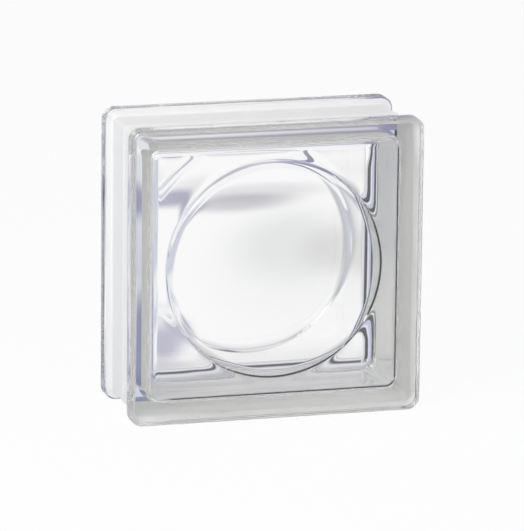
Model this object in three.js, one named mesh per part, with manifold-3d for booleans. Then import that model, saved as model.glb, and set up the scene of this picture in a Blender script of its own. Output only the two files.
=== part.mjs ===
// Hollow glass building block, 190 x 190 x 80 mm.
//
// The block is pressed as two cup-shaped halves that are fused rim to rim half way through its depth.
// Each half is a thick pane with a lip round its edge and a thinner wall behind it. The walls stand
// back from the lips, so that the finished block has a groove right round it for mortar and rods.
// Inside, each pane has the same pressed relief: a shallow dished disc whose rim curves up into a
// narrow steep step, and above that step four raised corners with a rounded brow.
//
// Frame: millimetres, +Z up, the front pane faces -Y, X runs to the right. The origin is the middle
// of the underside: the block stands on its two lips, and the fused seam lies in the plane Y = 0.

import * as THREE from 'three';
import { mergeVertices } from 'three/addons/utils/BufferGeometryUtils.js';
import Module from 'manifold-3d';

const wasm = await Module();
wasm.setup();

// ---- Driving dimensions, in millimetres ------------------------------------------------------

const FACE_SIZE = 190;            // width and height of each pane, over its lips
const BLOCK_DEPTH = 80;           // from the front pane to the back pane
const LIP_DEPTH = 11.5;           // depth of the lip behind each pane's face
const LIP_CORNER_RADIUS = 8;      // corners of the pane, seen from the front
const FACE_EDGE_RADIUS = 2;       // rounding where a pane's face turns into its lip
const LIP_BACK_RADIUS = 1.2;      // rounding of the lip's inner edge
const GROOVE_DEPTH = 5;           // how far the wall stands back from the lips
const GROOVE_FOOT_RADIUS = 1.5;   // fillet where the lip meets the wall
const WALL_THICKNESS = 7.2;       // wall at the pane, where it is thickest
const WALL_DRAFT = 1;             // how much of that the wall has lost at the seam
const SEAM_BEAD_HEIGHT = 0.5;     // glass squeezed out along the fused seam
const SEAM_BEAD_HALF_WIDTH = 2.5; // reach of that bead on each side of the seam

const PANE_THICKNESS = 9.75;      // pane at its raised corners
const CAVITY_CORNER_RADIUS = 8.5; // corners of the hollow, seen from the front
const CAVITY_FILLET = 6.5;        // fillet between the pane's inside and the walls
const DISC_BORDER = 13.2;         // from the hollow's side to the sharp line round the disc
const DISC_DISH = 0.8;            // how much deeper the disc is in its middle than at its rim
const FOOT_REACH = 4.5;           // hollow curve that leads from the disc up to the step
const FOOT_ANGLE = 15;            // slope where that curve meets the step, in degrees
const STEP_WIDTH = 1.2;           // steep band that draws the line round the disc
const STEP_ANGLE = 38;            // slope of the steep band, in degrees
const BROW_REACH = 2.2;           // rounding from the step out to the flat corners

// ---- Smoothness ------------------------------------------------------------------------------

const CORNER_STEPS = 8;           // facets in a corner of an outline
const ROUND_STEPS = 3;            // facets in an edge rounding
const BEAD_STEPS = 3;
const DISH_STEPS = 4;
const FOOT_STEPS = 3;
const BROW_STEPS = 4;
const DISC_STEPS = 112;           // facets round the disc

// ---- Sizes that follow from them -------------------------------------------------------------

const HALF_FACE = FACE_SIZE / 2;
const HALF_DEPTH = BLOCK_DEPTH / 2;
const HALF_CAVITY = HALF_FACE - GROOVE_DEPTH - WALL_THICKNESS;
const DISC_RADIUS = HALF_CAVITY - DISC_BORDER;

// ---- Solids ----------------------------------------------------------------------------------

function toManifold(geometry) {
  const bare = geometry.index ? geometry.toNonIndexed() : geometry.clone();
  bare.deleteAttribute('normal');
  bare.deleteAttribute('uv');
  const merged = mergeVertices(bare, 1e-4);
  return new wasm.Manifold(new wasm.Mesh({
    numProp: 3,
    vertProperties: Float32Array.from(merged.attributes.position.array),
    triVerts: Uint32Array.from(merged.index.array),
  }));
}

function toGeometry(solid) {
  const mesh = solid.getMesh();
  const geometry = new THREE.BufferGeometry();
  geometry.setAttribute('position', new THREE.BufferAttribute(mesh.vertProperties, 3));
  geometry.setIndex(new THREE.BufferAttribute(mesh.triVerts, 1));
  geometry.computeVertexNormals();
  return geometry;
}

/** Outline of a rounded square about the origin, counter-clockwise, without a repeated last point. */
function roundedSquare(half, radius) {
  const reach = half - radius;
  const centres = [[reach, reach], [-reach, reach], [-reach, -reach], [reach, -reach]];
  return centres.flatMap(([x, y], quarter) => {
    const start = quarter * Math.PI / 2;
    const arc = new THREE.EllipseCurve(x, y, radius, radius, start, start + Math.PI / 2);
    return arc.getPoints(CORNER_STEPS);
  });
}

/**
 * Closed solid skinned over rounded squares stacked along +Z. Each ring gives its half width, its
 * corner radius and its height, from the lowest ring to the highest.
 */
function loft(rings) {
  const outlines = rings.map(({ half, radius, z }) =>
    roundedSquare(half, radius).map((point) => new THREE.Vector3(point.x, point.y, z)));
  const count = outlines[0].length;
  const triangles = [];
  for (let level = 0; level + 1 < outlines.length; level += 1) {
    for (let i = 0; i < count; i += 1) {
      const next = (i + 1) % count;
      const [a, b] = [outlines[level][i], outlines[level][next]];
      const [c, d] = [outlines[level + 1][next], outlines[level + 1][i]];
      triangles.push(a, b, c, a, c, d);
    }
  }
  const [lowest, highest] = [outlines[0], outlines[outlines.length - 1]];
  for (let i = 1; i + 1 < count; i += 1) {
    triangles.push(lowest[0], lowest[i + 1], lowest[i]);
    triangles.push(highest[0], highest[i], highest[i + 1]);
  }
  return toManifold(new THREE.BufferGeometry().setFromPoints(triangles));
}

/** Numbers from 0 to 1 in equal steps, both ends included. */
function fractions(steps) {
  return Array.from({ length: steps + 1 }, (_, i) => i / steps);
}

// ---- One half, with its pane's face in the plane Z = 0 and its rim at Z = HALF_DEPTH ----------

/** Outside of a half: the rounded face edge, the lip, the groove wall and half of the seam's bead. */
function outside() {
  const rings = [];
  const ring = (inset, z) => rings.push({
    half: HALF_FACE - inset,
    radius: LIP_CORNER_RADIUS - inset,
    z,
  });
  for (const t of fractions(ROUND_STEPS)) {
    const turn = t * Math.PI / 2;
    ring(FACE_EDGE_RADIUS * (1 - Math.sin(turn)), FACE_EDGE_RADIUS * (1 - Math.cos(turn)));
  }
  for (const t of fractions(ROUND_STEPS)) {
    const turn = t * Math.PI / 2;
    ring(LIP_BACK_RADIUS * (1 - Math.cos(turn)), LIP_DEPTH - LIP_BACK_RADIUS * (1 - Math.sin(turn)));
  }
  for (const t of fractions(ROUND_STEPS)) {
    const turn = t * Math.PI / 2;
    ring(
      GROOVE_DEPTH - GROOVE_FOOT_RADIUS * (1 - Math.sin(turn)),
      LIP_DEPTH + GROOVE_FOOT_RADIUS * (1 - Math.cos(turn)),
    );
  }
  for (const t of fractions(BEAD_STEPS)) {
    const swell = SEAM_BEAD_HEIGHT * (1 - Math.cos(t * Math.PI)) / 2;
    ring(GROOVE_DEPTH - swell, HALF_DEPTH - SEAM_BEAD_HALF_WIDTH * (1 - t));
  }
  return loft(rings);
}

/** The hollow of a half, open through its rim, with a flat end and a fillet round that end. */
function hollow() {
  const rings = [];
  for (const t of fractions(ROUND_STEPS)) {
    const turn = t * Math.PI / 2;
    const inset = CAVITY_FILLET * (1 - Math.sin(turn));
    rings.push({
      half: HALF_CAVITY - inset,
      radius: CAVITY_CORNER_RADIUS - inset,
      z: PANE_THICKNESS + CAVITY_FILLET * (1 - Math.cos(turn)),
    });
  }
  const wallLength = HALF_DEPTH - PANE_THICKNESS - CAVITY_FILLET;
  const slope = WALL_DRAFT / wallLength;
  const past = 1;
  rings.push({
    half: HALF_CAVITY + slope * (wallLength + past),
    radius: CAVITY_CORNER_RADIUS,
    z: HALF_DEPTH + past,
  });
  return loft(rings);
}

/** Slope of the pane's inside over the radius, from the middle outwards. */
function reliefSlopes() {
  const footSlope = Math.tan(THREE.MathUtils.degToRad(FOOT_ANGLE));
  const stepSlope = Math.tan(THREE.MathUtils.degToRad(STEP_ANGLE));
  const stepStart = DISC_RADIUS - STEP_WIDTH / 2;
  const browStart = DISC_RADIUS + STEP_WIDTH / 2;
  const footStart = stepStart - FOOT_REACH;
  const dishSlope = 2 * DISC_DISH / footStart;
  const dish = fractions(DISH_STEPS).map((t) => ({ radius: footStart * t, slope: dishSlope * t }));
  const foot = fractions(FOOT_STEPS).slice(1).map((t) => ({
    radius: footStart + FOOT_REACH * t,
    slope: THREE.MathUtils.lerp(dishSlope, footSlope, t),
  }));
  const brow = fractions(BROW_STEPS).map((t) => ({
    radius: browStart + BROW_REACH * t,
    slope: stepSlope * (1 - t) ** 3,
  }));
  return [...dish, ...foot, { radius: stepStart + STEP_WIDTH / 4, slope: stepSlope }, ...brow];
}

/** What the relief takes out of the pane: the dished disc, its foot, the step and the brow. */
function relief() {
  const slopes = reliefSlopes();
  const rim = slopes[slopes.length - 1].radius;
  const profile = [new THREE.Vector2(rim, PANE_THICKNESS)];
  for (let i = slopes.length - 2; i >= 0; i -= 1) {
    const run = slopes[i + 1].radius - slopes[i].radius;
    const drop = run * (slopes[i].slope + slopes[i + 1].slope) / 2;
    profile.unshift(new THREE.Vector2(slopes[i].radius, profile[0].y - drop));
  }
  const top = PANE_THICKNESS + CAVITY_FILLET;
  profile.push(new THREE.Vector2(rim, top), new THREE.Vector2(0, top));
  const turned = new THREE.LatheGeometry(profile, DISC_STEPS);
  turned.rotateX(Math.PI / 2);
  return toManifold(turned);
}

const halfGeometry = toGeometry(outside().subtract(hollow()).subtract(relief()));

// ---- The block ------------------------------------------------------------------------------

const glass = new THREE.MeshStandardMaterial({
  name: 'clear_glass',
  color: 0xe6efe9,
  roughness: 0.04,
  metalness: 0,
  transparent: true,
  opacity: 0.35,
});

function half(name, turn, facePlane) {
  const mesh = new THREE.Mesh(halfGeometry, glass.clone());
  mesh.name = name;
  mesh.rotation.set(turn, 0, 0);
  mesh.position.set(0, facePlane, HALF_FACE);
  return mesh;
}

const block = new THREE.Group();
block.name = 'glass_block';
block.add(half('front_half', -Math.PI / 2, -HALF_DEPTH));
block.add(half('back_half', Math.PI / 2, HALF_DEPTH));

export default block;
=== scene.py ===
"""Clear hollow glass block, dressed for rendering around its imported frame.

The block is one fused glass body: a pressed outer skin with its lips and groove, and an inner skin
round the sealed air space with the relief of both panes. The groove carries a thin white coat.
"""

import math

import bmesh
import bpy
from bpy.props import FloatProperty, FloatVectorProperty, IntProperty, PointerProperty
from mathutils import Matrix, Vector


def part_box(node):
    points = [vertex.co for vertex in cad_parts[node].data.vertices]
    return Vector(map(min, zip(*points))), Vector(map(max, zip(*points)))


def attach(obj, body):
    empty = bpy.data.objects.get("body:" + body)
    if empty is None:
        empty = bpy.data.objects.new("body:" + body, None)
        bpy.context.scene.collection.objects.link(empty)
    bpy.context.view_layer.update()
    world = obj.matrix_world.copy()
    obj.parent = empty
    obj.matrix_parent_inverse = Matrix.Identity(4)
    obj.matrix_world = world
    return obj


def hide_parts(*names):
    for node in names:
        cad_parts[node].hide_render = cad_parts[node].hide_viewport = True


bl_info = {
    "name": "Clear Glass Block",
    "version": (1, 0, 0),
    "blender": (4, 5, 0),
    "location": "View3D > Sidebar > Glass Block",
    "description": "Models a pressed hollow glass block and the studio it is shown in",
    "category": "Add Mesh",
}

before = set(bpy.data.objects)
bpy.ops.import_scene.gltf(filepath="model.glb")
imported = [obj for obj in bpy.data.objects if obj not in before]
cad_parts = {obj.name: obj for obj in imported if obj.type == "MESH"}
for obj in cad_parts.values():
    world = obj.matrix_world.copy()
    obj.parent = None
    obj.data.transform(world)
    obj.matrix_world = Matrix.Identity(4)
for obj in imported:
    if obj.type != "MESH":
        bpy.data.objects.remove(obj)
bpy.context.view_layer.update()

HALVES = ("front_half", "back_half")
MM = 0.001
PICTURE_WIDTH, PICTURE_HEIGHT = 524, 531
GLASS, COAT = 0, 1


def block_box():
    """Lowest and highest corner of the two CAD halves together."""
    corners = [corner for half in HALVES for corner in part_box(half)]
    low = Vector(min(corner[axis] for corner in corners) for axis in range(3))
    high = Vector(max(corner[axis] for corner in corners) for axis in range(3))
    return low, high


BLOCK_LOW, BLOCK_HIGH = block_box()


# ---- Sizes and finishes that a user would change ---------------------------------------------


def length(name, description, millimetres):
    """A length property, shown in the scene's units."""
    return FloatProperty(
        name=name,
        description=description,
        default=millimetres * MM,
        min=0.0,
        subtype="DISTANCE",
        unit="LENGTH",
        precision=5,
    )


def angle(name, description, degrees):
    """An angle property, given in degrees."""
    return FloatProperty(
        name=name,
        description=description,
        default=math.radians(degrees),
        min=0.0,
        subtype="ANGLE",
        unit="ROTATION",
    )


def colour(name, description, value):
    """A colour property."""
    return FloatVectorProperty(
        name=name,
        description=description,
        default=value,
        size=3,
        min=0.0,
        max=1.0,
        subtype="COLOR",
    )


class GlassBlockShape(bpy.types.PropertyGroup):
    face_size: length("Face size", "Width and height of a pane over its lips", 190)
    depth: length("Depth", "From the front pane to the back pane", 80)
    lip_depth: length("Lip depth", "Depth of the lip behind each pane's face", 11.5)
    lip_corner: length("Lip corner", "Corner radius of the pane seen from the front", 8)
    face_edge: length("Face edge", "Rounding where the face turns into its lip", 2)
    lip_back: length("Lip back", "Rounding of the lip's inner edge", 1.2)
    groove: length("Groove", "How far the wall stands back from the lips", 5)
    groove_foot: length("Groove foot", "Fillet where the lip meets the wall", 1.5)
    wall: length("Wall", "Thickness of the wall at the pane", 7.2)
    draft: length("Draft", "How much of the wall is lost at the seam", 1)
    bead: length("Seam bead", "Height of the glass squeezed out along the seam", 0.5)
    bead_reach: length("Seam bead reach", "Reach of the bead on each side of the seam", 2.5)
    pane: length("Pane", "Thickness of the pane at its raised corners", 9.5)
    cavity_corner: length("Cavity corner", "Corner radius of the hollow", 8.5)
    fillet: length("Cavity fillet", "Fillet between the pane's inside and the walls", 6.5)
    disc_border: length("Disc border", "From the hollow's side to the line round the disc", 13.2)
    disc_left: length("Disc left", "How far the disc was pressed to the left of the middle", 0.7)
    disc_up: length("Disc up", "How far the disc was pressed above the middle", 0.9)
    disc_dish: length("Disc dish", "How much deeper the disc is in its middle than at its rim", 0.8)
    step_foot: length("Step foot", "Reach of the hollow curve that leads up to the disc's step", 4.5)
    foot_angle: angle("Foot angle", "Slope where that hollow curve meets the step", 15)
    step: length("Step", "Width of the steep band that draws the line round the disc", 1.7)
    step_angle: angle("Step angle", "Slope of the steep band", 38)
    step_brow: length("Step brow", "Reach of the rounding from the step out to the corners", 0.4)
    swell_angle: angle("Swell angle", "Slope of the raised corners beside the step", 6.8)
    swell_reach: length("Swell reach", "How far out from the step a corner still rises", 6)
    swell_edge_angle: angle("Swell edge angle", "Slope of the raised corners beside the walls", 4.6)
    swell_steps: IntProperty(
        name="Swell steps", description="Rings across each raised corner", default=24, min=4
    )
    corner_steps: IntProperty(
        name="Corner steps", description="Facets in each corner of an outline", default=24, min=4
    )
    disc_steps: IntProperty(
        name="Disc steps", description="Facets round the disc", default=256, min=32
    )
    round_steps: IntProperty(
        name="Rounding steps", description="Facets across an edge rounding", default=12, min=3
    )


class GlassFinish(bpy.types.PropertyGroup):
    tint: colour("Tint", "What is left of white light on a long way through the glass", (0.53, 0.57, 0.50))
    density: FloatProperty(
        name="Density", description="How quickly the tint builds up, per metre", default=2.0, min=0.0
    )
    index: FloatProperty(name="Index", description="Index of refraction", default=1.52, min=1.0)


class CoatFinish(bpy.types.PropertyGroup):
    paint: colour("Paint", "Colour of the white coat in the groove", (0.97, 0.97, 0.965))
    glow: FloatProperty(
        name="See-through", description="Share of the light that passes through the coat",
        default=0.3, min=0.0, max=1.0, subtype="FACTOR",
    )


class StudioLook(bpy.types.PropertyGroup):
    floor_colour: colour("Floor", "Colour of the pale floor", (0.9, 0.9, 0.9))
    floor_lift: FloatProperty(
        name="Floor lift", description="Share of pure white in the floor as it is seen",
        default=0.92, min=0.0, max=1.0, subtype="FACTOR",
    )
    room: colour("Room", "The room on the camera's side, as the glass shows it", (0.34, 0.34, 0.43))
    left_fill: colour("Left fill", "Even light on matt surfaces from the left", (0.22, 0.24, 0.30))
    right_fill: colour("Right fill", "Even light on matt surfaces from the right", (0.87, 0.81, 0.76))
    key: FloatProperty(
        name="Key", description="Power of the soft lamp on the left, in watts", default=17.5, min=0.0
    )


# ---- Node helpers ----------------------------------------------------------------------------


class Socket:
    """An output socket that adds Math nodes when it is used in an expression."""

    def __init__(self, shader, output):
        self.shader = shader
        self.output = output

    def maths(self, operation, *values):
        node = self.shader.node("ShaderNodeMath", {"operation": operation}, dict(enumerate(values)))
        return node[0]

    def __add__(self, other):
        return self.maths("ADD", self, other)

    def __radd__(self, other):
        return self.maths("ADD", other, self)

    def __sub__(self, other):
        return self.maths("SUBTRACT", self, other)

    def __rsub__(self, other):
        return self.maths("SUBTRACT", other, self)

    def __mul__(self, other):
        return self.maths("MULTIPLY", self, other)

    def __rmul__(self, other):
        return self.maths("MULTIPLY", other, self)

    def __abs__(self):
        return self.maths("ABSOLUTE", self)

    def greatest(self, other):
        return self.maths("MAXIMUM", self, other)

    def over(self, limit):
        return self.maths("GREATER_THAN", self, limit)

    def under(self, limit):
        return self.maths("LESS_THAN", self, limit)

    def step(self, low, high):
        """A soft step from 0 at low to 1 at high."""
        return self.shader.node("ShaderNodeMapRange", {"interpolation_type": "SMOOTHSTEP"}, {
            "Value": self, "From Min": low, "From Max": high,
        })["Result"]

    def ramp(self, span, stops):
        """The colours of the stops, each at its own value within the span from low to high."""
        low, high = span
        placed = [((value - low) / (high - low), shade) for value, shade in stops]
        part = self.shader.node("ShaderNodeMapRange", None, {
            "Value": self, "From Min": low, "From Max": high,
        })["Result"]
        return self.shader.node("ShaderNodeValToRGB", {"stops": placed}, {"Fac": part})["Color"]


class Outputs:
    """The outputs of a node, by number or by name, as sockets for expressions."""

    def __init__(self, shader, node):
        self.shader = shader
        self.outputs = node.outputs

    def __getitem__(self, key):
        return Socket(self.shader, self.outputs[key])


class Shader:
    """A material's or a world's node tree, emptied and ready for new nodes."""

    def __init__(self, owner):
        owner.use_nodes = True
        self.tree = owner.node_tree
        self.tree.nodes.clear()

    def node(self, kind, settings=None, inputs=None):
        """A new node: its settings come first, then the values or links of its inputs."""
        node = self.tree.nodes.new(kind)
        for key, value in (settings or {}).items():
            if key == "stops":
                self.set_stops(node.color_ramp, value)
            else:
                setattr(node, key, value)
        for key, value in (inputs or {}).items():
            if isinstance(value, Socket):
                self.tree.links.new(value.output, node.inputs[key])
            else:
                node.inputs[key].default_value = value
        return Outputs(self, node)

    @staticmethod
    def set_stops(ramp, stops):
        while len(ramp.elements) < len(stops):
            ramp.elements.new(1.0)
        for element, (position, shade) in zip(ramp.elements, stops):
            element.position = position
            element.color = (*shade, 1.0)


def new_material(name):
    """A new material and its empty node tree."""
    material = bpy.data.materials.new(name)
    return material, Shader(material)


# ---- Glass body ------------------------------------------------------------------------------

EASE = 0.05 * MM  # a narrow flat band beside each rounding keeps the faces optically flat
MERGE_DISTANCE = EASE / 5
PLANE_TOLERANCE = 1e-7
LIMIT_SLACK = 0.001 * MM

DISH_RINGS = 24
BROW_POWER = 2
CROWN_POWER = 2.8
CORNER_BAND = 3.0 * MM  # raised corner beside the step that is still made of rings
CORNER_BAND_RINGS = 16
STRAIGHT_STEPS = 8


def quarter(steps):
    """Angles from 0 to a quarter turn in equal steps, both ends included."""
    return [math.pi / 2 * step / steps for step in range(steps + 1)]


def outer_section(shape):
    """Section of the outside, from a pane's face to the seam: (inset, depth) pairs, glass then coat."""
    turns = quarter(shape.round_steps)
    edge, back, foot = shape.face_edge, shape.lip_back, shape.groove_foot
    glass = [(edge + EASE, 0.0)]
    glass += [(edge * (1 - math.sin(t)), edge * (1 - math.cos(t))) for t in turns]
    glass.append((0.0, edge + EASE))
    glass.append((0.0, shape.lip_depth - back - EASE))
    glass += [(back * (1 - math.cos(t)), shape.lip_depth - back * (1 - math.sin(t))) for t in turns]
    coat = [(back + EASE, shape.lip_depth), (shape.groove - foot - EASE, shape.lip_depth)]
    coat += [
        (shape.groove - foot * (1 - math.sin(t)), shape.lip_depth + foot * (1 - math.cos(t)))
        for t in turns
    ]
    coat.append((shape.groove, shape.lip_depth + foot + EASE))
    half_depth = shape.depth / 2
    for step in range(shape.round_steps + 1):
        part = step / shape.round_steps
        swell = shape.bead * (1 - math.cos(part * math.pi)) / 2
        coat.append((shape.groove - swell, half_depth - shape.bead_reach * (1 - part)))
    return glass, coat


def cavity_section(shape):
    """Section of the air space from a pane's inside to the seam: (inset, depth) pairs."""
    fillet = shape.fillet
    points = [(fillet + EASE, shape.pane)]
    points += [
        (fillet * (1 - math.sin(t)), shape.pane + fillet * (1 - math.cos(t)))
        for t in quarter(shape.round_steps)
    ]
    start = shape.pane + fillet
    points.append((-shape.draft * EASE, start + EASE))
    points.append((-shape.draft, shape.depth / 2))
    return points


def relief_slopes(shape, line_radius):
    """Slope of the pane's inside over the radius, from the middle out: (radius, slope) pairs."""
    foot_slope, step_slope = math.tan(shape.foot_angle), math.tan(shape.step_angle)
    step_start = line_radius - shape.step / 2
    foot_start = step_start - shape.step_foot
    brow_start = line_radius + shape.step / 2
    blend = shape.step / 4
    dish_slope = 2 * shape.disc_dish / foot_start
    slopes = [
        (foot_start * part / DISH_RINGS, dish_slope * part / DISH_RINGS)
        for part in range(DISH_RINGS + 1)
    ]
    for part in range(1, shape.round_steps + 1):
        share = part / shape.round_steps
        slopes.append((
            foot_start + shape.step_foot * share,
            dish_slope + (foot_slope - dish_slope) * share,
        ))
    slopes.append((step_start + blend, step_slope))
    slopes.append((brow_start, step_slope))
    brow_steps = 2 * shape.round_steps
    swell_slope = math.tan(shape.swell_angle)
    for part in range(1, brow_steps + 1):
        share = part / brow_steps
        slopes.append((
            brow_start + shape.step_brow * share,
            swell_slope + (step_slope - swell_slope) * (1 - share) ** BROW_POWER,
        ))
    return slopes


def swell(shape, x, z, past_step, half):
    """How far a raised corner stands above the pane at a place, between the step and the walls."""
    outward = min(past_step / shape.swell_reach, 1.0)
    crest = math.tan(shape.swell_angle) * shape.swell_reach / CROWN_POWER
    crown = crest * (1 - (1 - outward) ** CROWN_POWER)
    falls = [math.tan(shape.swell_edge_angle) * (half - abs(way)) for way in (x, z)]
    if min(crown, *falls) <= 0.0:
        return 0.0
    return 1 / (1 / crown + 1 / falls[0] + 1 / falls[1])


def relief_section(shape, half_cavity):
    """Section of the pane's inside from its middle out to the flat corners: (radius, depth) pairs."""
    slopes = relief_slopes(shape, half_cavity - shape.disc_border)
    points = [(slopes[-1][0], shape.pane)]
    for (inner, inner_slope), (outer, outer_slope) in reversed(list(zip(slopes, slopes[1:]))):
        drop = (outer - inner) * (inner_slope + outer_slope) / 2
        points.append((inner, points[-1][1] - drop))
    return points[::-1]


def chain(bm, points):
    """A chain of edges through the points."""
    verts = [bm.verts.new(point) for point in points]
    return [bm.edges.new(pair) for pair in zip(verts, verts[1:])]


def sweep_round_square(bm, section, half, corner, steps, centre, straight_steps=STRAIGHT_STEPS):
    """Sweeps a section of (inset, y) pairs round a square with rounded corners, in the XZ plane."""
    reach = half - corner
    start = [(centre.x + half - inset, y, centre.z - reach) for inset, y in section]
    edges = chain(bm, start)
    for side in range(4):
        turn = Matrix.Rotation(-side * math.pi / 2, 3, "Y")
        along = turn @ Vector((0, 0, 2 * reach / straight_steps))
        swept = bmesh.ops.spin(
            bm, geom=edges, cent=centre, axis=(0, 1, 0), dvec=along, angle=0.0, steps=straight_steps
        )
        edges = [item for item in swept["geom_last"] if isinstance(item, bmesh.types.BMEdge)]
        pivot = centre + turn @ Vector((reach, 0, reach))
        swept = bmesh.ops.spin(
            bm, geom=edges, cent=pivot, axis=(0, -1, 0), angle=math.pi / 2, steps=steps
        )
        edges = [item for item in swept["geom_last"] if isinstance(item, bmesh.types.BMEdge)]


def rim_edges(bm, y):
    """Open edges of the mesh that lie in the plane at that depth."""
    return [
        edge for edge in bm.edges
        if edge.is_boundary and all(abs(vert.co.y - y) < PLANE_TOLERANCE for vert in edge.verts)
    ]


def mirrored(section, depth):
    """A half section given from its pane inwards, as a whole one from the front to the back."""
    front = [(inset, y - depth / 2) for inset, y in section]
    back = [(inset, depth / 2 - y) for inset, y in section[:-1]]
    return front + back[::-1]


def outer_skin(shape, centre):
    """The outside of the fused block as a closed mesh, with the coat on the groove's faces."""
    bm = bmesh.new()
    glass, coat = outer_section(shape)
    section = mirrored(glass + coat, shape.depth)
    sweep_round_square(
        bm, section, shape.face_size / 2, shape.lip_corner, shape.corner_steps, centre
    )
    bmesh.ops.remove_doubles(bm, verts=bm.verts, dist=MERGE_DISTANCE)
    inner_lip = shape.depth / 2 - coat[0][1] + EASE / 2
    for face in bm.faces:
        face.material_index = COAT if abs(face.calc_center_median().y) < inner_lip else GLASS
        face.smooth = True
    for y in (-shape.depth / 2, shape.depth / 2):
        filled = bmesh.ops.edgeloop_fill(bm, edges=rim_edges(bm, y))
        for face in filled["faces"]:
            face.smooth = True
    bmesh.ops.recalc_face_normals(bm, faces=bm.faces)
    return bm


def inner_skin(shape, centre):
    """The skin of the air space with both reliefs as a closed mesh, its faces pointing into the air."""
    bm = bmesh.new()
    half_cavity = shape.face_size / 2 - shape.groove - shape.wall
    section = mirrored(cavity_section(shape), shape.depth)
    sweep_round_square(
        bm, section, half_cavity, shape.cavity_corner, shape.corner_steps, centre,
        shape.disc_steps // 4 - shape.corner_steps,
    )
    bmesh.ops.remove_doubles(bm, verts=bm.verts, dist=MERGE_DISTANCE)
    relief = relief_section(shape, half_cavity)
    inner = relief[-1][0]
    relief += [
        (inner + CORNER_BAND * part / CORNER_BAND_RINGS, shape.pane)
        for part in range(1, CORNER_BAND_RINGS + 1)
    ]
    middle = centre + Vector((-shape.disc_left, 0, shape.disc_up))
    limit = half_cavity - shape.fillet
    for direction in (-1, 1):
        profile = [
            (middle.x + radius, direction * (shape.depth / 2 - depth), middle.z)
            for radius, depth in relief
        ]
        bmesh.ops.spin(
            bm, geom=chain(bm, profile), cent=middle, axis=(0, 1, 0), angle=2 * math.pi,
            steps=shape.disc_steps, use_merge=True,
        )
        bmesh.ops.remove_doubles(bm, verts=bm.verts, dist=MERGE_DISTANCE)
        plane = direction * (shape.depth / 2 - shape.pane)
        rims = rim_edges(bm, plane)
        ring = {
            vert for edge in rims for vert in edge.verts
            if math.hypot(vert.co.x - middle.x, vert.co.z - middle.z) < relief[-1][0] + EASE
        }
        bmesh.ops.translate(bm, vec=(0, -direction * shape.fillet, 0), verts=list(ring))
        bridged = bmesh.ops.bridge_loops(bm, edges=rims)
        bmesh.ops.subdivide_edges(bm, edges=bridged["edges"], cuts=shape.swell_steps)
        for vert in bm.verts:
            x, z = vert.co.x - centre.x, vert.co.z - centre.z
            past_step = math.hypot(vert.co.x - middle.x, vert.co.z - middle.z) - inner
            on_corner = max(abs(x), abs(z)) < limit + LIMIT_SLACK and past_step > 0
            if on_corner and vert.co.y * direction > 0:
                vert.co.y = plane - direction * swell(shape, x, z, past_step, limit)
    for face in bm.faces:
        face.smooth = True
        face.material_index = GLASS
    bmesh.ops.recalc_face_normals(bm, faces=bm.faces)
    bmesh.ops.reverse_faces(bm, faces=bm.faces)
    return bm


# ---- Glass and coat --------------------------------------------------------------------------


def clear_glass(finish):
    """Clear pressed glass: the faint tint builds up along the light's way through it."""
    material, shader = new_material("clear_glass")
    where = shader.node("ShaderNodeTexCoord")["Object"]
    ripple = shader.node(
        "ShaderNodeTexNoise", None, {"Vector": where, "Scale": 13.0, "Detail": 2.0, "Roughness": 0.4}
    )["Fac"]
    bump = shader.node("ShaderNodeBump", None, {"Strength": 0.012, "Distance": 0.001, "Height": ripple})
    haze = shader.node(
        "ShaderNodeTexNoise", None, {"Vector": where, "Scale": 9.0, "Detail": 3.0}
    )["Fac"]
    glass = shader.node("ShaderNodeBsdfPrincipled", None, {
        "Base Color": (1.0, 1.0, 1.0, 1.0),
        "Roughness": haze * 0.012,
        "IOR": finish.index,
        "Transmission Weight": 1.0,
        "Normal": bump["Normal"],
    })
    tint = shader.node("ShaderNodeVolumeAbsorption", None, {
        "Color": (*finish.tint, 1.0), "Density": finish.density,
    })
    shader.node("ShaderNodeOutputMaterial", None, {"Surface": glass["BSDF"], "Volume": tint["Volume"]})
    return material


def white_coat(finish):
    """Thin white coat on the groove: matt, faintly mottled, and light shows through it."""
    material, shader = new_material("white_edge_coat")
    where = shader.node("ShaderNodeTexCoord")["Object"]
    mottle = shader.node(
        "ShaderNodeTexNoise", None, {"Vector": where, "Scale": 60.0, "Detail": 4.0, "Roughness": 0.6}
    )["Fac"]
    shade = shader.node("ShaderNodeValToRGB", {"stops": [
        (0.3, tuple(0.97 * part for part in finish.paint)),
        (0.7, tuple(finish.paint)),
    ]}, {"Fac": mottle})["Color"]
    bump = shader.node("ShaderNodeBump", None, {"Strength": 0.15, "Distance": 0.0004, "Height": mottle})
    paint = shader.node("ShaderNodeBsdfPrincipled", None, {
        "Base Color": shade,
        "Roughness": mottle * 0.2 + 0.6,
        "Specular IOR Level": 0.0,
        "Normal": bump["Normal"],
    })
    through = shader.node("ShaderNodeBsdfTranslucent", None, {"Color": (*finish.paint, 1.0)})
    mixed = shader.node("ShaderNodeMixShader", None, {
        "Fac": finish.glow, 1: paint["BSDF"], 2: through["BSDF"],
    })
    shader.node("ShaderNodeOutputMaterial", None, {"Surface": mixed["Shader"]})
    return material


def link_mesh(name, bm, materials):
    """An object in the scene with the mesh and the materials, at the origin."""
    mesh = bpy.data.meshes.new(name)
    bm.to_mesh(mesh)
    bm.free()
    for material in materials:
        mesh.materials.append(material)
    piece = bpy.data.objects.new(name, mesh)
    bpy.context.scene.collection.objects.link(piece)
    return piece


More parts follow.
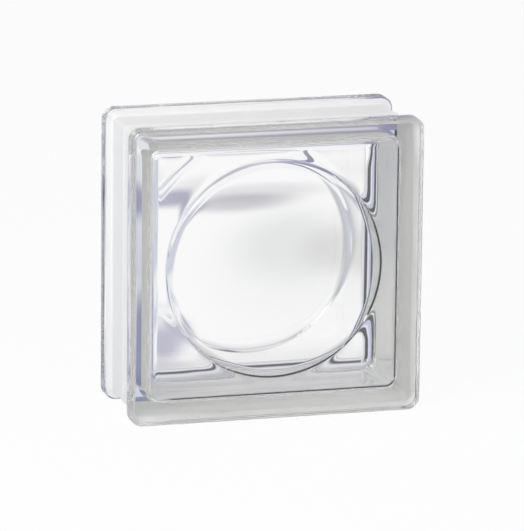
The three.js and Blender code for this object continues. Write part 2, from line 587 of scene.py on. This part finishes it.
class GLASSBLOCK_OT_body(bpy.types.Operator):
    """Model the fused glass block with its coated groove"""

    bl_idname = "glass_block.body"
    bl_label = "Glass Body"

    def execute(self, context):
        shape = context.scene.glass_block_shape
        centre = (BLOCK_LOW + BLOCK_HIGH) / 2
        centre.y = 0.0
        outside = outer_skin(shape, centre)
        hollow = inner_skin(shape, centre)
        spare = bpy.data.meshes.new("hollow")
        hollow.to_mesh(spare)
        hollow.free()
        outside.from_mesh(spare)
        bpy.data.meshes.remove(spare)
        if any(not edge.is_manifold for edge in outside.edges):
            raise RuntimeError("the glass body isn't closed")
        materials = (clear_glass(context.scene.glass_finish), white_coat(context.scene.coat_finish))
        body = link_mesh("glass_block", outside, materials)
        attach(body, "root")
        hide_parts(*HALVES)
        return {"FINISHED"}


# ---- Studio ----------------------------------------------------------------------------------

WHITE = (1.0, 1.0, 1.0)
BLACK = (0.010, 0.011, 0.018)
UNLIT = (0.0, 0.0, 0.0)
DEEP_LAVENDER = (0.32, 0.34, 0.50)
PALE_LAVENDER = (0.78, 0.80, 0.86)
# Painted shade of the far floor as the glass shows it.
FAR_FLOOR = (0.93, 0.93, 0.95)
FLOOR_REACH = 15.0

# The strip of floor that the camera sees straight through the block leans to the right.
SIGHT_LEAN = 0.287
SIGHT_START = 0.040
SIGHT_HALF_WIDTH = 0.083
LIP_LEAN = 0.25

# Where one painted shade of the floor gives way to the next, from and to.
LEFT_TURNS_FAR = (0.34, 0.40)
BESIDE_LIP = (0.064, 0.078)
LIP_SHADE_STARTS = (0.06, 0.10)
LIP_SHADE_ENDS = (0.26, 0.40)
FAR_FLOOR_STARTS = (0.76, 0.92)
NEAR_LEFT_ENDS = (-0.068, -0.063)
NEAR_LEFT_DEPTH = (0.076, 0.084)
BLOCK_FRONT = -0.042
BLOCK_SIDE = 0.115

# The painted dark shadow line behind the block's foot bends a little: from and to across, and how far it
# moves.
FOOT_LINE_OFFSET = 0.003
FOOT_LINE_BENDS = (
    ((-0.006, 0.010), 0.008),
    ((-0.040, -0.022), -0.004),
    ((0.050, 0.070), -0.004),
)
FOOT_LINE_STARTS = (0.030, 0.045)

# Painted shade of the floor as the glass shows it, by distance from the strip's edges or from the seam,
# each list with the span of its ramp.
FAR_LEFT_SPAN = (0.0, 0.60)
FAR_LEFT_PAINTED_SHADE = (
    (0.0, WHITE), (0.005, (0.86, 0.87, 0.90)), (0.012, (0.70, 0.72, 0.80)),
    (0.025, (0.57, 0.59, 0.71)), (0.12, (0.60, 0.62, 0.72)), (0.22, (0.66, 0.68, 0.78)),
    (0.32, PALE_LAVENDER),
)
NEAR_LEFT_SPAN = (0.0, 0.02)
NEAR_LEFT_PAINTED_SHADE = ((0.0, WHITE), (0.012, (0.85, 0.87, 0.90)))
RIGHT_SPAN = (0.0, 0.50)
RIGHT_PAINTED_SHADE = (
    (0.0, (0.96, 0.96, 0.96)), (0.005, (0.84, 0.84, 0.85)), (0.012, (0.70, 0.70, 0.72)),
    (0.022, (0.60, 0.60, 0.63)), (0.036, (0.48, 0.49, 0.54)), (0.060, (0.54, 0.55, 0.62)),
    (0.10, (0.52, 0.52, 0.58)), (0.16, (0.66, 0.68, 0.76)),
    (0.22, (0.52, 0.54, 0.64)), (0.50, (0.40, 0.40, 0.46)),
)
FOOT_SPAN = (-0.05, 0.20)
# Painted shadow: near black under the front lip, grey under the block, a black line behind its foot, then
# lighter.
FOOT_PAINTED_SHADE = (
    (-0.039, (0.04, 0.04, 0.05)), (-0.029, (0.05, 0.05, 0.06)), (-0.023, (0.40, 0.40, 0.44)),
    (0.036, (0.40, 0.40, 0.44)), (0.044, (0.48, 0.48, 0.53)), (0.050, (0.64, 0.64, 0.70)),
    (0.054, (0.80, 0.80, 0.84)), (0.0575, (0.70, 0.70, 0.73)), (0.0605, (0.30, 0.30, 0.34)),
    (0.063, (0.04, 0.04, 0.06)), (0.067, (0.05, 0.05, 0.07)), (0.071, (0.20, 0.20, 0.24)),
    (0.0745, (0.60, 0.60, 0.66)), (0.078, (0.86, 0.86, 0.88)), (0.083, (0.80, 0.80, 0.83)),
    (0.088, (0.62, 0.61, 0.65)), (0.093, (0.60, 0.60, 0.64)), (0.099, (0.72, 0.72, 0.74)),
    (0.105, (0.76, 0.76, 0.78)), (0.110, (0.84, 0.84, 0.84)), (0.116, (0.90, 0.90, 0.90)),
    (0.126, (0.95, 0.95, 0.95)), (0.140, WHITE),
)
LEFT_FOOT_SPAN = (0.04, 0.10)
# Painted shade: a dark blue line and a pale blue band behind the block's left foot.
LEFT_FOOT_PAINTED_SHADE = (
    (0.046, (0.50, 0.52, 0.60)), (0.050, (0.24, 0.27, 0.40)), (0.059, (0.24, 0.27, 0.40)),
    (0.063, (0.66, 0.74, 0.86)), (0.074, (0.66, 0.74, 0.86)), (0.080, (0.80, 0.82, 0.86)),
)

# Soft patches of painted shade on the floor behind the block: middle across the strip and along it, reach,
# shade.
PAINTED_SHADE_PATCHES = (
    ((-0.383, 0.620), (0.120, 0.100), (0.42, 0.42, 0.58)),
    ((0.040, 0.430), (0.085, 0.190), (0.86, 0.86, 0.865)),
    ((0.035, 0.400), (0.110, 0.340), (0.92, 0.93, 0.925)),
    ((0.080, 0.400), (0.055, 0.130), (0.87, 0.87, 0.86)),
    ((0.000, 0.655), (0.115, 0.066), (0.78, 0.78, 0.80)),
    ((-0.100, 0.245), (0.050, 0.060), (0.72, 0.73, 0.82)),
    ((-0.015, 0.612), (0.085, 0.062), (0.60, 0.59, 0.63)),
    ((-0.068, 0.612), (0.034, 0.055), (0.46, 0.46, 0.59)),
    ((-0.058, 0.170), (0.024, 0.075), (0.47, 0.46, 0.58)),
    ((-0.060, 0.112), (0.045, 0.020), (0.80, 0.80, 0.84)),
)
PATCH_CORE = 0.15  # share of a patch's reach that keeps its full shade

FLAG_FOOT = 0.002
FLAG_TOP = 0.169
UPPER_FLAG_TOP = 0.262
FLAG_START = 0.0835
LIP_FLAG_PLACE = 0.042
LIP_FLAG_START, LIP_FLAG_END = 0.0957, 0.0990
BACK_FLAG_PLACE = 0.052
SIDE_FLAG_PLACE = 0.125
SIDE_FLAG_FRONT = -0.065

# Small steps that bend the painted lines of the back flag: from a height, up to a height, sideways shift.
BACK_FLAG_BENDS = ((0.138, 0.152, 0.007), (0.024, 0.030, -0.003), (0.034, 0.044, 0.003))
# Painted reflections: black lines and pale-blue bands that the glass shows at its right-hand edge.
BACK_FLAG_PAINTED_REFLECTIONS = (
    (FLAG_START, WHITE), (0.0850, (0.60, 0.60, 0.66)), (0.0874, (0.66, 0.66, 0.73)),
    (0.0880, BLACK), (0.0940, BLACK), (0.0950, (0.72, 0.76, 0.95)),
    (0.0970, (0.74, 0.78, 0.96)), (0.0990, (0.58, 0.61, 0.75)), (0.1030, (0.46, 0.49, 0.60)),
    (0.1075, (0.58, 0.60, 0.72)), (0.1090, (0.50, 0.52, 0.62)), (0.1105, BLACK),
    (SIDE_FLAG_PLACE, BLACK),
)
# Painted reflection: a dim lavender band above the back flag.
UPPER_FLAG_PAINTED_REFLECTIONS = (
    (FLAG_START, (0.36, 0.36, 0.52)), (0.0900, (0.27, 0.27, 0.42)),
    (SIDE_FLAG_PLACE, (0.27, 0.27, 0.42)),
)

# Tones of the backdrop as the glass shows it, by how far up, right, left and back a ray points.
UPWARD_SPAN = (0.0, 1.0)
UPWARD_TONES = (
    (0.0, (0.76, 0.75, 0.80)), (0.08, (0.55, 0.53, 0.60)), (0.150, (0.46, 0.44, 0.51)),
    (0.168, (0.50, 0.48, 0.54)), (0.186, (0.88, 0.87, 0.90)), (0.210, (0.80, 0.79, 0.82)),
    (0.226, (0.40, 0.39, 0.44)), (0.240, (0.44, 0.43, 0.48)), (0.250, (0.85, 0.85, 0.87)),
    (0.262, (0.60, 0.58, 0.62)), (0.30, (0.46, 0.44, 0.50)), (0.36, (0.50, 0.49, 0.54)),
    (0.43, (0.90, 0.90, 0.91)), (1.0, (0.95, 0.95, 0.95)),
)
RIGHTWARD_SPAN = (0.2, 0.4)
RIGHTWARD_TONES = ((0.26, WHITE), (0.30, (0.68, 0.68, 0.80)), (0.34, (0.45, 0.45, 0.60)))
EITHER_WAY_SPAN = (-1.0, 1.0)
LEFTWARD_TONES = ((-0.15, (0.80, 0.82, 0.88)), (0.12, UNLIT))
BACKWARD_TONES = ((-0.1, UNLIT), (0.25, WHITE))

KEY_PLACE = (-0.95, -1.0, 1.05)
KEY_SIZE = (0.9, 0.9)
KEY_COLOUR = (0.98, 1.0, 0.985)

CAMERA_AZIMUTH = math.radians(-15.935)
CAMERA_ELEVATION = math.radians(13.424)
CAMERA_ROLL = math.radians(0.607)
CAMERA_DISTANCE = 3.117
CAMERA_TARGET = Vector((0.0, 0.0, 0.095))
CAMERA_CLIP_END = 100.0
FOCAL_PIXELS = 4906.9
CENTRE_PIXEL = (260.824, 258.086)
SENSOR = 36.0

# Light bounces many times inside the glass.
LIGHT_PATHS = {
    "max_bounces": 32,
    "glossy_bounces": 24,
    "transmission_bounces": 24,
    "diffuse_bounces": 12,
    "blur_glossy": 0.0,
    "use_denoising": True,
}


def ray_kinds(shader):
    """Masks for rays that show the background, that see it in the glass, and that light matt faces."""
    rays = shader.node("ShaderNodeLightPath")
    lighting = rays["Diffuse Depth"].over(0.5)
    in_glass = rays["Is Glossy Ray"].greatest(rays["Is Transmission Ray"]) * (1 - lighting)
    shown = rays["Is Camera Ray"].greatest(in_glass)
    return shown, in_glass, lighting


def mix_colour(shader, factor, first, second, blend="MIX"):
    """One colour mixed with another by a Mix node, whose colours are inputs 6 and 7 and output 2."""
    settings = {"data_type": "RGBA", "blend_type": blend}
    return shader.node("ShaderNodeMix", settings, {"Factor": factor, 6: first, 7: second})[2]


def times_colour(shader, first, second):
    return mix_colour(shader, 1.0, first, second, "MULTIPLY")


def painted_floor_sides(shader, axes, across):
    """Painted shade of the floor to the left and right of the strip that is seen straight through the
    block.
    """
    behind = axes["Y"].over(0.0)
    left = (-SIGHT_HALF_WIDTH - across) * behind
    far_left = left.ramp(FAR_LEFT_SPAN, FAR_LEFT_PAINTED_SHADE)
    near_left = left.ramp(NEAR_LEFT_SPAN, NEAR_LEFT_PAINTED_SHADE)
    side = mix_colour(shader, axes["Y"].step(*LEFT_TURNS_FAR), near_left, far_left)
    # Painted lavender shade on the floor to the left of the block, beside its lip.
    beside_lip = (0 - axes["X"] - axes["Y"] * LIP_LEAN).step(*BESIDE_LIP)
    close_by = axes["Y"].step(*LIP_SHADE_STARTS) * (1 - axes["Y"].step(*LIP_SHADE_ENDS))
    painted_lip_shade = mix_colour(shader, beside_lip * close_by, (*WHITE, 1.0), (*DEEP_LAVENDER, 1.0))
    side = times_colour(shader, side, painted_lip_shade)
    right = (across - SIGHT_HALF_WIDTH) * behind
    side = times_colour(shader, side, right.ramp(RIGHT_SPAN, RIGHT_PAINTED_SHADE))
    return mix_colour(shader, axes["Y"].step(*FAR_FLOOR_STARTS), side, (*FAR_FLOOR, 1.0))


def painted_shade_at_foot(shader, axes):
    """Painted shade of the floor under and close behind the block: a painted contact shadow and a painted
    dark line, which bends a little on its way across.
    """
    bend = FOOT_LINE_OFFSET
    for span, shift in FOOT_LINE_BENDS:
        bend = axes["X"].step(*span) * shift + bend
    away = axes["Y"] + bend * axes["Y"].step(*FOOT_LINE_STARTS)
    foot = away.ramp(FOOT_SPAN, FOOT_PAINTED_SHADE)
    left_foot = axes["Y"].ramp(LEFT_FOOT_SPAN, LEFT_FOOT_PAINTED_SHADE)
    elsewhere = axes["X"].step(*NEAR_LEFT_ENDS).greatest(axes["Y"].step(*NEAR_LEFT_DEPTH))
    foot = mix_colour(shader, elsewhere, left_foot, foot)
    beside = abs(axes["X"]).over(BLOCK_SIDE)
    in_front = axes["Y"].under(BLOCK_FRONT)
    return mix_colour(shader, beside.greatest(in_front), foot, (*WHITE, 1.0))


def painted_floor_in_glass(shader):
    """The floor as the glass shows it, glowing with painted shade: white behind the block, lavender shade
    to the left, a dark shadow at its foot and soft shaded patches.
    """
    where = shader.node("ShaderNodeTexCoord")["Object"]
    axes = shader.node("ShaderNodeSeparateXYZ", None, {"Vector": where})
    across = axes["X"] - (axes["Y"] - SIGHT_START) * SIGHT_LEAN
    tone = times_colour(shader, painted_floor_sides(shader, axes, across), painted_shade_at_foot(shader, axes))
    place = shader.node("ShaderNodeCombineXYZ", None, {"X": across, "Y": axes["Y"]})["Vector"]
    for middle, reach, shade in PAINTED_SHADE_PATCHES:
        offset = shader.node("ShaderNodeVectorMath", {"operation": "SUBTRACT"}, {
            0: place, 1: (*middle, 0.0),
        })["Vector"]
        scaled = shader.node("ShaderNodeVectorMath", {"operation": "DIVIDE"}, {
            0: offset, 1: (*reach, 1.0),
        })["Vector"]
        distance = shader.node("ShaderNodeVectorMath", {"operation": "LENGTH"}, {0: scaled})["Value"]
        inside = shader.node("ShaderNodeMapRange", {"interpolation_type": "SMOOTHERSTEP"}, {
            "Value": distance, "From Min": 1.0, "From Max": PATCH_CORE,
        })["Result"]
        tone = times_colour(shader, tone, mix_colour(shader, inside, (*WHITE, 1.0), (*shade, 1.0)))
    return tone


def floor_material(look):
    """Pale matt floor, which the glass shows glowing with painted shade and painted reflections."""
    material, shader = new_material("pale_floor")
    shown, in_glass, _ = ray_kinds(shader)
    where = shader.node("ShaderNodeTexCoord")["Object"]
    grain = shader.node("ShaderNodeTexNoise", None, {"Vector": where, "Scale": 40.0, "Detail": 3.0})["Fac"]
    matt = shader.node("ShaderNodeBsdfPrincipled", None, {
        "Base Color": (*look.floor_colour, 1.0),
        "Roughness": grain * 0.1 + 0.85,
        "Specular IOR Level": 0.0,
    })
    white = shader.node("ShaderNodeEmission", None, {"Strength": 1.0})
    lift = shown * look.floor_lift
    lifted = shader.node("ShaderNodeMixShader", None, {"Fac": lift, 1: matt["BSDF"], 2: white["Emission"]})
    # The glass sees the floor glow in painted shade and painted reflections instead of its lit colour.
    glow = shader.node("ShaderNodeEmission", None, {"Color": painted_floor_in_glass(shader), "Strength": 1.0})
    mixed = shader.node("ShaderNodeMixShader", None, {
        "Fac": in_glass, 1: lifted["Shader"], 2: glow["Emission"],
    })
    shader.node("ShaderNodeOutputMaterial", None, {"Surface": mixed["Shader"]})
    return material


def build_floor(look):
    """The floor, level with the underside of the block."""
    bm = bmesh.new()
    bmesh.ops.create_grid(bm, x_segments=1, y_segments=1, size=FLOOR_REACH)
    floor = link_mesh("floor", bm, [floor_material(look)])


def flag(name, start, end, axis, stops, foot=FLAG_FOOT, top=FLAG_TOP, bends=()):
    """An upright card close beside the block that only the glass sees, glowing along its length with
    painted reflections.
    """
    material, shader = new_material(name)
    where = shader.node("ShaderNodeTexCoord")["Object"]
    axes = shader.node("ShaderNodeSeparateXYZ", None, {"Vector": where})
    along = axes[axis]
    for low, high, shift in bends:
        along = along - axes["Z"].step(low, high) * shift
    shade = along.ramp((stops[0][0] - MM, stops[-1][0] + MM), stops)
    # The card glows with its painted reflections. Rays that light matt faces pass through it.
    glow = shader.node("ShaderNodeEmission", None, {"Color": shade, "Strength": 1.0})
    clear = shader.node("ShaderNodeBsdfTransparent")
    _, _, lighting = ray_kinds(shader)
    mixed = shader.node("ShaderNodeMixShader", None, {
        "Fac": lighting, 1: glow["Emission"], 2: clear["BSDF"],
    })
    shader.node("ShaderNodeOutputMaterial", None, {"Surface": mixed["Shader"]})
    bm = bmesh.new()
    edge = chain(bm, [(*start, foot), (*end, foot)])
    raised = bmesh.ops.extrude_edge_only(bm, edges=edge)
    corners = [item for item in raised["geom"] if isinstance(item, bmesh.types.BMVert)]
    bmesh.ops.translate(bm, vec=(0, 0, top - foot), verts=corners)
    card = link_mesh(name, bm, [material])
    card.visible_camera = False
    card.visible_diffuse = False
    card.visible_shadow = False


def build_flags():
    """Narrow glowing cards that paint dark lines and pale-blue reflections into the glass at its
    right-hand edge.
    """
    back_start, back_end = (FLAG_START, BACK_FLAG_PLACE), (SIDE_FLAG_PLACE, BACK_FLAG_PLACE)
    flag("back_flag", back_start, back_end, "X", BACK_FLAG_PAINTED_REFLECTIONS, bends=BACK_FLAG_BENDS)
    flag(
        "lip_flag", (LIP_FLAG_START, LIP_FLAG_PLACE), (LIP_FLAG_END, LIP_FLAG_PLACE), "X",
        ((LIP_FLAG_START, BLACK), (LIP_FLAG_END, BLACK)),
    )
    flag(
        "side_flag", (SIDE_FLAG_PLACE, SIDE_FLAG_FRONT), back_end, "Y",
        ((SIDE_FLAG_FRONT, BLACK), (BACK_FLAG_PLACE, BLACK)),
    )
    flag("upper_flag", back_start, back_end, "X", UPPER_FLAG_PAINTED_REFLECTIONS, FLAG_TOP, UPPER_FLAG_TOP)


def build_world(look):
    """White backdrop behind, a dimmer room in front and above, and an even light on matt surfaces."""
    world = bpy.data.worlds.new("studio_room")
    bpy.context.scene.world = world
    shader = Shader(world)
    towards = shader.node("ShaderNodeTexCoord")["Generated"]
    axes = shader.node("ShaderNodeSeparateXYZ", None, {"Vector": towards})
    upwards = axes["Z"].ramp(UPWARD_SPAN, UPWARD_TONES)
    rightwards = axes["X"].ramp(RIGHTWARD_SPAN, RIGHTWARD_TONES)
    upwards = times_colour(shader, upwards, rightwards)
    leftwards = axes["X"].ramp(EITHER_WAY_SPAN, LEFTWARD_TONES)
    behind = mix_colour(shader, 1.0, upwards, leftwards, "LIGHTEN")
    to_back = axes["Y"].ramp(EITHER_WAY_SPAN, BACKWARD_TONES)
    room = mix_colour(shader, to_back, (*look.room, 1.0), behind)
    seen = shader.node("ShaderNodeBackground", None, {"Color": room, "Strength": 1.0})
    fill_shade = mix_colour(
        shader, axes["X"] * 0.5 + 0.5, (*look.left_fill, 1.0), (*look.right_fill, 1.0)
    )
    fill = shader.node("ShaderNodeBackground", None, {"Color": fill_shade, "Strength": 1.0})
    white = shader.node("ShaderNodeBackground", None, {"Color": (*WHITE, 1.0), "Strength": 1.0})
    rays = shader.node("ShaderNodeLightPath")
    matt = shader.node("ShaderNodeMixShader", None, {
        "Fac": rays["Diffuse Depth"].over(0.5), 1: seen["Background"], 2: fill["Background"],
    })
    mixed = shader.node("ShaderNodeMixShader", None, {
        "Fac": rays["Is Camera Ray"], 1: matt["Shader"], 2: white["Background"],
    })
    shader.node("ShaderNodeOutputWorld", None, {"Surface": mixed["Shader"]})


def area_lamp(name, place, aim, size, power, shade):
    """A soft rectangular lamp that points at a place."""
    lamp = bpy.data.lights.new(name, "AREA")
    lamp.shape = "RECTANGLE"
    lamp.size, lamp.size_y = size
    lamp.energy = power
    lamp.color = shade
    holder = bpy.data.objects.new(name, lamp)
    holder.location = place
    holder.rotation_euler = (Vector(aim) - Vector(place)).to_track_quat("-Z", "Y").to_euler()
    bpy.context.scene.collection.objects.link(holder)


def build_camera():
    """The camera, placed from the perspective of the block's edges."""
    out = Vector((
        math.sin(CAMERA_AZIMUTH) * math.cos(CAMERA_ELEVATION),
        -math.cos(CAMERA_AZIMUTH) * math.cos(CAMERA_ELEVATION),
        math.sin(CAMERA_ELEVATION),
    ))
    camera = bpy.data.cameras.new("camera")
    camera.sensor_fit = "VERTICAL"
    camera.sensor_height = SENSOR
    camera.lens = FOCAL_PIXELS * SENSOR / PICTURE_HEIGHT
    camera.shift_x = (PICTURE_WIDTH / 2 - CENTRE_PIXEL[0]) / PICTURE_HEIGHT
    camera.shift_y = (CENTRE_PIXEL[1] - PICTURE_HEIGHT / 2) / PICTURE_HEIGHT
    camera.clip_end = CAMERA_CLIP_END
    holder = bpy.data.objects.new("camera", camera)
    level = out.to_track_quat("Z", "Y").to_matrix().to_4x4()
    holder.matrix_world = (
        Matrix.Translation(CAMERA_TARGET + out * CAMERA_DISTANCE)
        @ level
        @ Matrix.Rotation(CAMERA_ROLL, 4, "Z")
    )
    bpy.context.scene.collection.objects.link(holder)
    bpy.context.scene.camera = holder


class GLASSBLOCK_OT_studio(bpy.types.Operator):
    """Set up the pale floor, the soft light and the camera"""

    bl_idname = "glass_block.studio"
    bl_label = "Studio"

    def execute(self, context):
        scene = context.scene
        look = scene.studio_look
        build_floor(look)
        build_flags()
        build_world(look)
        area_lamp("key", KEY_PLACE, CAMERA_TARGET, KEY_SIZE, look.key, KEY_COLOUR)
        build_camera()
        scene.view_settings.view_transform = "Standard"
        for name, value in LIGHT_PATHS.items():
            setattr(scene.cycles, name, value)
        return {"FINISHED"}


class GLASSBLOCK_PT_panel(bpy.types.Panel):
    """Sizes, finishes and steps of the glass block"""

    bl_idname = "GLASSBLOCK_PT_panel"
    bl_label = "Glass Block"
    bl_space_type = "VIEW_3D"
    bl_region_type = "UI"
    bl_category = "Glass Block"

    def draw(self, context):
        scene = context.scene
        for group in (
            scene.glass_block_shape, scene.glass_finish, scene.coat_finish, scene.studio_look
        ):
            box = self.layout.box()
            for name in group.__annotations__:
                box.prop(group, name)
        for operator in (GLASSBLOCK_OT_body, GLASSBLOCK_OT_studio):
            self.layout.operator(operator.bl_idname)


CLASSES = (
    GlassBlockShape,
    GlassFinish,
    CoatFinish,
    StudioLook,
    GLASSBLOCK_OT_body,
    GLASSBLOCK_OT_studio,
    GLASSBLOCK_PT_panel,
)

SETTINGS = {
    "glass_block_shape": GlassBlockShape,
    "glass_finish": GlassFinish,
    "coat_finish": CoatFinish,
    "studio_look": StudioLook,
}


def register():
    for cls in CLASSES:
        bpy.utils.register_class(cls)
    for name, group in SETTINGS.items():
        setattr(bpy.types.Scene, name, PointerProperty(type=group))


def unregister():
    for name in SETTINGS:
        delattr(bpy.types.Scene, name)
    for cls in reversed(CLASSES):
        bpy.utils.unregister_class(cls)


def main():
    register()
    bpy.ops.glass_block.studio()
    bpy.ops.glass_block.body()


if __name__ == "__main__":
    main()
